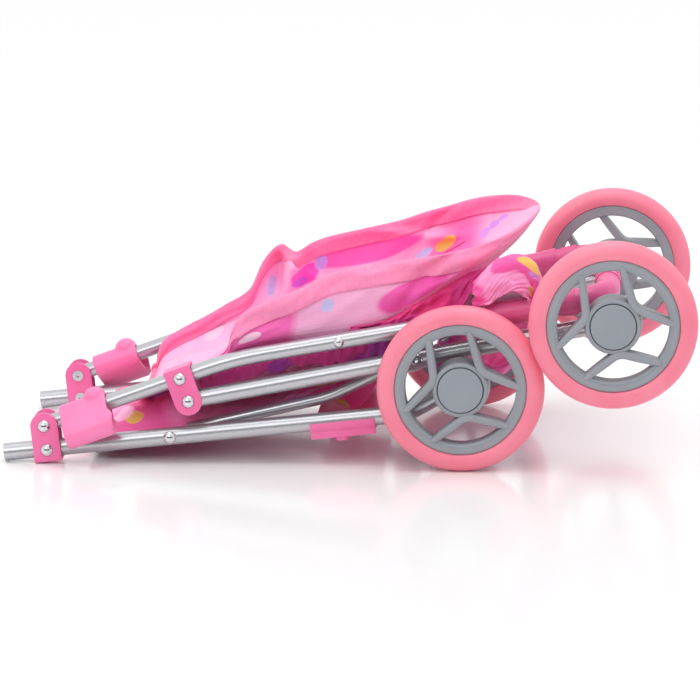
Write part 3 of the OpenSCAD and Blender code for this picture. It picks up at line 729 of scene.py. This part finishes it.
# ---------------------------------------------------------------- moulded brackets, footrest and sleeves
def softened(source, width, finish, segments=3):
    """A copy of a moulded node with its sharp edges rounded."""
    bm = new_bm()
    bm.from_mesh(frame["nodes"][source].data)
    bmesh.ops.remove_doubles(bm, verts=bm.verts, dist=2e-6)
    bmesh.ops.dissolve_limit(bm, angle_limit=math.radians(1.5), verts=bm.verts, edges=bm.edges)
    sharp = [edge for edge in bm.edges if len(edge.link_faces) == 2
             and edge.calc_face_angle() > math.radians(40)]
    bmesh.ops.bevel(bm, geom=sharp, offset=width, offset_type="OFFSET", segments=segments, profile=0.5,
                    affect="EDGES", clamp_overlap=True, material=-1)
    piece = to_object(source + "_moulding", bm, [finish], auto_smooth=50)
    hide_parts(source)
    return piece


for side in ("left", "right"):
    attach(softened("fold_bracket_" + side, 0.0009, PINK), "front_frame")
    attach(softened("leg_bracket_" + side, 0.0009, PINK), "handle_frame")
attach(softened("footrest", 0.0006, PINK), "front_frame")


def baked(piece):
    """Replaces a piece's mesh by the result of its modifiers."""
    graph = bpy.context.evaluated_depsgraph_get()
    solid = bpy.data.meshes.new_from_object(piece.evaluated_get(graph))
    piece.modifiers.clear()
    piece.data = solid
    return piece


SLEEVE_AT = 0.015
SLEEVE_LEAN = math.radians(50)


def lock_sleeve(side):
    """Moulded oval sleeve with a thumb knob on top and a swell at its lower corner."""
    low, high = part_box("lock_sleeve_" + side)
    outward = -1 if side == "left" else 1
    start = FOLD + LOWER * SLEEVE_AT
    start = Vector((start.x, outward * SIDE_Y, start.z))
    along = LOWER.normalized()
    normal = Vector((-along.z, 0, along.x))
    hang = (Vector((0, outward, 0)) * math.sin(SLEEVE_LEAN) - normal * math.cos(SLEEVE_LEAN)).normalized()
    face = along.cross(hang)
    frame_at = Matrix((along, hang, face)).transposed().to_4x4()
    frame_at.translation = start
    length, wide, drop = 0.038, 0.0100, 0.0205
    bm = new_bm()

    def lobe(radius, y):
        made = bmesh.ops.create_cone(bm, cap_ends=True, segments=40, radius1=radius, radius2=radius,
                                     depth=length)["verts"]
        bmesh.ops.rotate(bm, verts=made, cent=(0, 0, 0), matrix=Matrix.Rotation(math.pi / 2, 3, "Y"))
        bmesh.ops.translate(bm, verts=made, vec=(length / 2, y, 0))

    def ball(radius, x, y, z, stretch=(1, 1, 1)):
        made = bmesh.ops.create_uvsphere(bm, u_segments=32, v_segments=20, radius=radius)["verts"]
        bmesh.ops.scale(bm, verts=made, vec=stretch)
        bmesh.ops.translate(bm, verts=made, vec=(x, y, z))

    lobe(wide, 0.0)
    lobe(wide, drop)
    slab = bmesh.ops.create_cube(bm, size=1)["verts"]
    bmesh.ops.scale(bm, verts=slab, vec=(length, drop, 2 * wide))
    bmesh.ops.translate(bm, verts=slab, vec=(length / 2, drop / 2, 0))
    up = (normal.dot(hang), normal.dot(face))
    ball(0.0078, length - 0.0085, 0.0080 * up[0], 0.0080 * up[1], (1.15, 1, 1))
    ball(0.0090, length - 0.0010, drop * 0.92, 0.0, (0.70, 1.1, 1.1))
    piece = to_object("lock_sleeve_" + side + "_moulding", bm, [SLEEVE_PINK], auto_smooth=0)
    remesh = piece.modifiers.new("skin", "REMESH")
    remesh.mode = "VOXEL"
    remesh.voxel_size = 0.0007
    soft = piece.modifiers.new("soft", "SMOOTH")
    soft.factor = 0.5
    soft.iterations = 22
    baked(piece)
    cut = new_bm()
    for y in (0.0, drop):
        made = bmesh.ops.create_cone(cut, cap_ends=True, segments=40, radius1=0.0074, radius2=0.0074,
                                     depth=0.08)["verts"]
        bmesh.ops.rotate(cut, verts=made, cent=(0, 0, 0), matrix=Matrix.Rotation(math.pi / 2, 3, "Y"))
        bmesh.ops.translate(cut, verts=made, vec=(length / 2, y, 0))
    slab = bmesh.ops.create_cube(cut, size=1)["verts"]
    bmesh.ops.scale(cut, verts=slab, vec=(0.08, drop, 0.0147))
    bmesh.ops.translate(cut, verts=slab, vec=(length / 2, drop / 2, 0))
    cutter = to_object("bore_cutter", cut, [], auto_smooth=0)
    bore = piece.modifiers.new("bore", "BOOLEAN")
    bore.operation = "DIFFERENCE"
    bore.solver = "EXACT"
    bore.use_self = True
    bore.object = cutter
    baked(piece)
    bpy.data.objects.remove(cutter)
    for index in range(len(piece.data.materials) - 1, 0, -1):
        piece.data.materials.pop(index=index)
    piece.data.transform(frame_at)
    if frame_at.determinant() < 0:
        piece.data.flip_normals()
    for face_ in piece.data.polygons:
        face_.use_smooth = True
        face_.material_index = 0
    piece.data.set_sharp_from_angle(angle=math.radians(50))
    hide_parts("lock_sleeve_" + side)
    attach(piece, "sleeve_" + side)


lock_sleeve("left")
lock_sleeve("right")

# ---------------------------------------------------------------- seat cloth between the rails
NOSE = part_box("seat_front_bar")[0].x + RAIL_R
rail_z = curve([(-0.201, 0.0145), (-0.1394, 0.021), (-0.085, 0.034), (-0.045, 0.0425), (-0.0157, 0.0515),
                (0.012, 0.066), (0.054, 0.0842)])
SLING_LEFT, SLING_RIGHT = NOSE, 0.046
sling_dome = curve([(-0.201, 0.0), (-0.186, 0.008), (-0.164, 0.0155), (-0.1445, 0.0200), (-0.130, 0.0150),
                    (-0.112, 0.004), (-0.098, 0.0)])


def sling_point(u, v):
    """Slack seat cloth: turned under the rails at its front, bare-edged on top of them further back."""
    x = SLING_LEFT + 0.0005 + (SLING_RIGHT - SLING_LEFT - 0.0005) * u
    wrap = RAIL_R + 0.0014
    free = smooth(u / 0.08)
    turned = 1 - smooth((x + 0.134) / 0.016)
    flat = 0.998 - 0.14 * turned
    side = (v - 0.5) * 2
    inner = min(abs(side) / flat, 1.0)
    past = max(abs(side) - flat, 0) / (1 - flat)
    edge_y = RAIL_Y - (1 - turned) * RAIL_R * 0.9
    edge_z = rail_z(x) + wrap * (0.55 + 0.45 * turned)
    y = inner * edge_y
    dome = sling_dome(x) * (1 - inner ** 8) * (0.45 + 0.55 * ridge(side, -0.60, 0.45))
    slack = -0.006 * (1 - inner ** 4) * (1 - ridge(x, -0.155, 0.03))
    ripple = (noise.noise(Vector((x * 24, y * side * 9, 5.5))) * 0.009
              + abs(noise.noise(Vector((x * 70, side * 5, 8.1)))) * 0.006) * (1 - inner ** 6)
    belly = 0.026 * ridge(abs(side), 0.84, 0.11) * ridge(x, 0.006, 0.020)
    z = edge_z + (dome + slack + ripple) * free - belly + 0.0012 * (1 - smooth(u / 0.03))
    if past > 0:
        turn = math.radians(250) * past * turned
        y = edge_y + wrap * math.sin(turn)
        z = edge_z - wrap * (1 - math.cos(turn))
    return Vector((x, math.copysign(y, side), z))


# Sling spots: the pale pink one on the front dome is a painted highlight; the big deep pink patch at the near
# rail's back end is painted shade, and the olive spot in it is yellow print darkened by painted shade; the yellow
# and lavender spots are print.
SLING_CLOTH = cloth("sling_cloth", (0.99, 0.33, 0.62), (0.95, 0.12, 0.42), [
    (0.033, 0.026, 0.008, 0.006, YELLOW), (0.020, 0.034, 0.012, 0.010, (1.0, 0.60, 0.80)),
    (0.215, 0.020, 0.034, 0.022, DEEP_PINK), (0.212, 0.018, 0.007, 0.006, (0.62, 0.62, 0.05)),
    (0.050, 0.060, 0.012, 0.012, LAVENDER)], patch_scale=9, seed=1.7)
sling = sheet_grid("seat_sling_cloth", 150, 130, sling_point, [SLING_CLOTH], flat=(0.27, 0.235))
thicken(sling, 0.0010)
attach(sling, "seat_frame")
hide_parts("seat_sling")


def front_wrap_point(u, v):
    """The seat cloth's front edge, turned round the cross bar and hanging almost to the floor."""
    side = (u - 0.5) * 2
    y = side * (RAIL_Y - 0.004)
    wrap = RAIL_R + 0.0015
    angle = math.radians(200 - 250 * v)
    drop = 0.004 * math.sin(math.pi * min(v * 1.2, 1)) * (0.6 + noise.noise(Vector((y * 22, 0.0, 3.0))))
    slack = noise.noise(Vector((y * 30, v * 2, 6.6))) * 0.0015
    x = NOSE - (wrap + slack) * math.sin(angle)
    z = 0.0148 + (wrap + slack) * math.cos(angle) * -1 - drop * 0.6
    return Vector((x, y, max(z, 0.0022)))


front_wrap = sheet_grid("seat_front_hem", 120, 26, front_wrap_point, [TAPE], flat=(0.17, 0.03))
thicken(front_wrap, 0.0009)
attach(front_wrap, "seat_frame")

# ---------------------------------------------------------------- slack lining under the seat back
LINING_CLOTH = cloth("lining_cloth", (0.86, 0.06, 0.36), (0.50, 0.06, 0.46), patch_scale=22, seed=3.1,
                     scatter=False)


def lining_point(u, v):
    """Crumpled cloth that hangs between the handle tubes and the rear legs."""
    x = -0.116 + 0.162 * u
    side = (v - 0.5) * 2
    y = side * (SIDE_Y - 0.009)
    crumple = (noise.noise(Vector((x * 38, y * 20, 2.0))) * 0.009
               + abs(noise.noise(Vector((x * 85, y * 40, 5.0)))) * 0.010 - 0.0055)
    lift = smooth((abs(side) - 0.92) / 0.05)
    low, high = rear_z(x) + 0.007, handle_z(x) - HANDLE_R * 0.1
    share = 0.02 * (1 - lift) + lift
    ceiling = keel(x) - 0.0055 - 0.007 * (1 - lift)
    return Vector((x + 0.5 * crumple * (1 - lift), y + 0.002 * lift * math.sin(x * 700) * side,
                   min(low + (high - low) * share + crumple * (1 - lift), ceiling)))


lining = sheet_grid("seat_back_lining", 170, 160, lining_point, [LINING_CLOTH], flat=(0.17, 0.20))
thicken(lining, 0.0010)
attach(lining, "handle_frame")


def gather_point(side_sign):
    def place(u, v):
        """Gathered strip that closes the gap from the seat back's wall to the handle tube."""
        x = 0.002 + 0.106 * u
        taper = smooth((x - 0.082) / 0.026)
        high = max(keel(x) + 0.009 - 0.006 * taper, handle_z(x) + HANDLE_R + 0.002)
        low = (handle_z(x) + HANDLE_R * 0.4) * (1 - taper) + (high - 0.0015) * taper
        pleat = math.sin(x * 620 + 9 * noise.noise(Vector((x * 30, v * 2, 9.0)))) * 0.0012
        crumple = noise.noise(Vector((x * 60, v * 3, 2.7))) * 0.007
        belly = math.sin(math.pi * v) * (1 - 0.6 * taper)
        y = SHELL_Y - 0.0005 + (pleat + crumple) * belly - 0.010 * v * smooth((x - 0.03) / 0.06)
        return Vector((x, side_sign * y, low + (high - low) * v + 0.3 * crumple * belly))
    return place


# The gathered strip's deep crimson is partly the cloth's own colour and partly painted shade under the seat back's
# wing.
GATHER_CLOTH = cloth("gather_cloth", (0.78, 0.020, 0.20), (0.62, 0.02, 0.22), patch_scale=16, seed=5.3,
                     scatter=False)
for side, sign in (("left", -1), ("right", 1)):
    strip = sheet_grid("seat_back_gather_" + side, 130, 26, gather_point(sign), [GATHER_CLOTH],
                       flat=(0.14, 0.03))
    thicken(strip, 0.0009)
    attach(strip, "handle_frame")

# ---------------------------------------------------------------- slack cloth loop over the near arm
LOOP_CLOTH = cloth("loop_cloth", (0.90, 0.09, 0.38), (0.97, 0.33, 0.62), [
    (0.045, 0.034, 0.009, 0.0035, YELLOW), (0.050, 0.027, 0.006, 0.003, LAVENDER),
    (0.052, 0.012, 0.004, 0.004, YELLOW)], patch_scale=34, seed=8.2, scatter=False)
LOOP_TOP = [(0.098, 0.144), (0.107, 0.1535), (0.1155, 0.161), (0.131, 0.1655), (0.145, 0.159),
            (0.1505, 0.147)]
LOOP_LOW = [(0.098, 0.127), (0.110, 0.1285), (0.119, 0.135), (0.129, 0.139), (0.138, 0.134),
            (0.1425, 0.126)]
loop_curves = outline(LOOP_TOP) + outline(LOOP_LOW)


def loop_point(u, v):
    """Slack band of the seat back's edge: up the near side, over the top and down the far side."""
    top_x, top_z, low_x, low_z = (line(u) for line in loop_curves)
    half = 0.0115 * (0.55 + 0.45 * math.sin(math.pi * min(u * 0.9 + 0.1, 1)))
    share = 1 - abs(2 * v - 1)
    bend = min(share / 0.80, 1)
    crumple = (noise.noise(Vector((u * 5 + v * 6, v * 7, 1.1))) * 0.005
               + abs(noise.noise(Vector((u * 9 - v * 16, v * 6, 4.0)))) * 0.005)
    y = SIDE_Y + math.copysign(half, 0.5 - v) * math.sqrt(max(1 - max((share - 0.72) / 0.28, 0) ** 2, 0))
    far = smooth((v - 0.5) / 0.3)
    x = low_x + (top_x - low_x) * smooth(bend) + crumple * 0.4
    rise = share - 0.06 * share * (1 - share)
    z = low_z - 0.004 * far + (top_z - low_z + 0.004 * far) * rise + crumple * 0.3
    return Vector((x, -(y + crumple * (1 - share)), z))


loop = sheet_grid("grip_loop", 60, 120, loop_point, [LOOP_CLOTH], flat=(0.06, 0.075))
thicken(loop, 0.0010)
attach(loop, "handle_frame")

# ---------------------------------------------------------------- basket folded up under the rear legs
BASKET_CLOTH = cloth("basket_cloth", (0.90, 0.10, 0.40), (0.60, 0.06, 0.48), patch_scale=10, seed=2.2)


BASKET_LINE = [(0.0670, 0.0775), (0.0650, 0.0670), (0.0642, 0.0570), (0.0655, 0.0500), (0.0700, 0.0495),
               (0.0760, 0.0560), (0.0830, 0.0680), (0.0890, 0.0712), (0.0960, 0.0690), (0.1050, 0.0650),
               (0.1180, 0.0655), (0.1290, 0.0720), (0.1360, 0.0830), (0.1380, 0.0920)]
basket_curves = outline(BASKET_LINE)


def basket_point(u, v):
    """Slack bag: u goes down its front, under the front axle's sides and up its back."""
    side = (v - 0.5) * 2
    y = side * (SIDE_Y - LEG_R - 0.003)
    clear = smooth(abs(u - 7 / 13) / 0.10)
    crumple = (noise.noise(Vector((u * 8, y * 24, 3.3))) * 0.006
               + abs(noise.noise(Vector((u * 17, y * 55, 6.1)))) * 0.005) * clear
    lift = 0.010 * abs(side) ** 8 * clear
    x, z = basket_curves[0](u) + crumple * 0.4, basket_curves[1](u) + crumple + lift
    return Vector((x, y, z))


basket = sheet_grid("basket_cloth", 110, 130, basket_point, [BASKET_CLOTH], flat=(0.15, 0.185))
thicken(basket, 0.0010)
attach(basket, "rear_frame")
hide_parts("basket")

# ---------------------------------------------------------------- floor, light and camera
FLOOR, _, floor_shader = material("studio_floor", (0.93, 0.93, 0.93), 0.14)
floor_shader.inputs["Specular IOR Level"].default_value = 0.35
bm = new_bm()
bmesh.ops.create_grid(bm, x_segments=1, y_segments=1, size=9)
floor = to_object("studio_floor", bm, [FLOOR], auto_smooth=0)


def studio_sky():
    """White all round, with one dark band behind the camera for the metal to reflect."""
    world = bpy.data.worlds.new("studio")
    bpy.context.scene.world = world
    world.use_nodes = True
    tree = world.node_tree
    background = tree.nodes["Background"]
    background.inputs["Strength"].default_value = 1.02
    coords = node(tree, "ShaderNodeTexCoord")
    parts = node(tree, "ShaderNodeSeparateXYZ")
    tree.links.new(coords.outputs["Generated"], parts.inputs[0])
    factors = [spread(tree, parts.outputs["Z"], -0.10, -0.02, 0.0, 1.0),
               spread(tree, parts.outputs["Z"], 0.20, 0.42, 1.0, 0.0),
               spread(tree, parts.outputs["Y"], -0.80, -0.60, 1.0, 0.0)]
    total = factors[0]
    for factor in factors[1:]:
        product = node(tree, "ShaderNodeMath", operation="MULTIPLY")
        tree.links.new(total, product.inputs[0])
        tree.links.new(factor, product.inputs[1])
        total = product.outputs[0]
    tree.links.new(mix(tree, total, (1.0, 1.0, 1.0), (0.10, 0.10, 0.11)), background.inputs["Color"])


studio_sky()


def softbox(name, place, target, size, power):
    light = bpy.data.lights.new(name, "AREA")
    light.shape = "RECTANGLE"
    light.size, light.size_y = size
    light.energy = power
    holder = bpy.data.objects.new(name, light)
    holder.location = place
    holder.rotation_euler = (Vector(target) - Vector(place)).to_track_quat("-Z", "Y").to_euler()
    bpy.context.scene.collection.objects.link(holder)


softbox("top_softbox", (0.1, -0.2, 2.2), (0, 0, 0), (1.6, 1.2), 14)
softbox("front_softbox", (-0.9, -2.2, 1.5), (0, 0, 0.1), (1.2, 1.0), 9)

camera_data = bpy.data.cameras.new("camera")
camera = bpy.data.objects.new("camera", camera_data)
bpy.context.scene.collection.objects.link(camera)
camera_data.sensor_width = 36
camera_data.lens = 200.8
camera_data.clip_end = 50
yaw, pitch, roll = math.radians(3.69), math.radians(-10.86), math.radians(-0.4)
camera.matrix_world = (Matrix.Translation((0.1943, -3.0827, 0.6633)) @ Matrix.Rotation(yaw, 4, "Z")
                       @ Matrix.Rotation(math.pi / 2 + pitch, 4, "X") @ Matrix.Rotation(roll, 4, "Z"))
bpy.context.scene.camera = camera
bpy.context.scene.view_settings.view_transform = "Standard"
